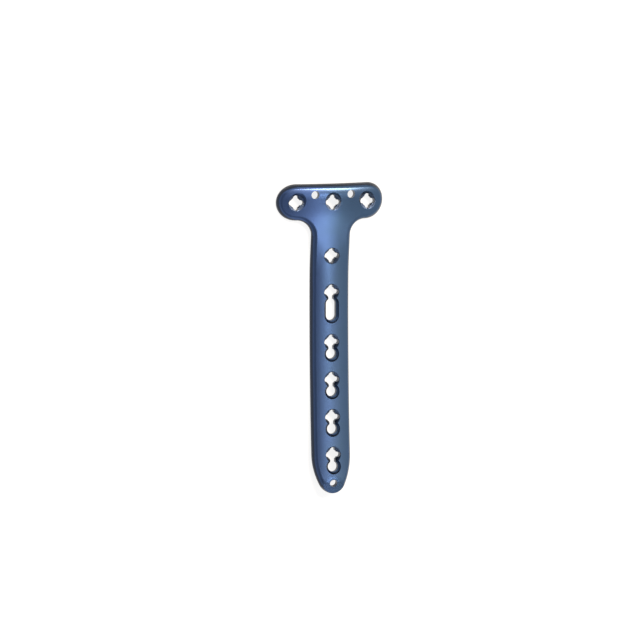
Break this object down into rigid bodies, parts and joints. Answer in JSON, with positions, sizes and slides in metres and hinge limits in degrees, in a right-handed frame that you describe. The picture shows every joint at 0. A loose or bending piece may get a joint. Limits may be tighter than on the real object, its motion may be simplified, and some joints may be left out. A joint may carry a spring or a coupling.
{
  "type": "bone plate",
  "caption": "T-shaped orthopaedic bone plate, blue anodised titanium, with four-lobed locking holes, combination compression holes and wire holes.",
  "frame": {"origin": "bottom centre of the box around the plate, which lies on its bone side", "axes": "+X across the shaft to the right as seen from above, +Y along the shaft towards the head bar, +Z out of the outer face"},
  "size_m": [0.038, 0.1074, 0.0064],
  "materials": {
    "anodised_titanium": "satin"
  },
  "bodies": {
    "root": {"bone_plate": "anodised_titanium"}
  },
  "joints": []
}
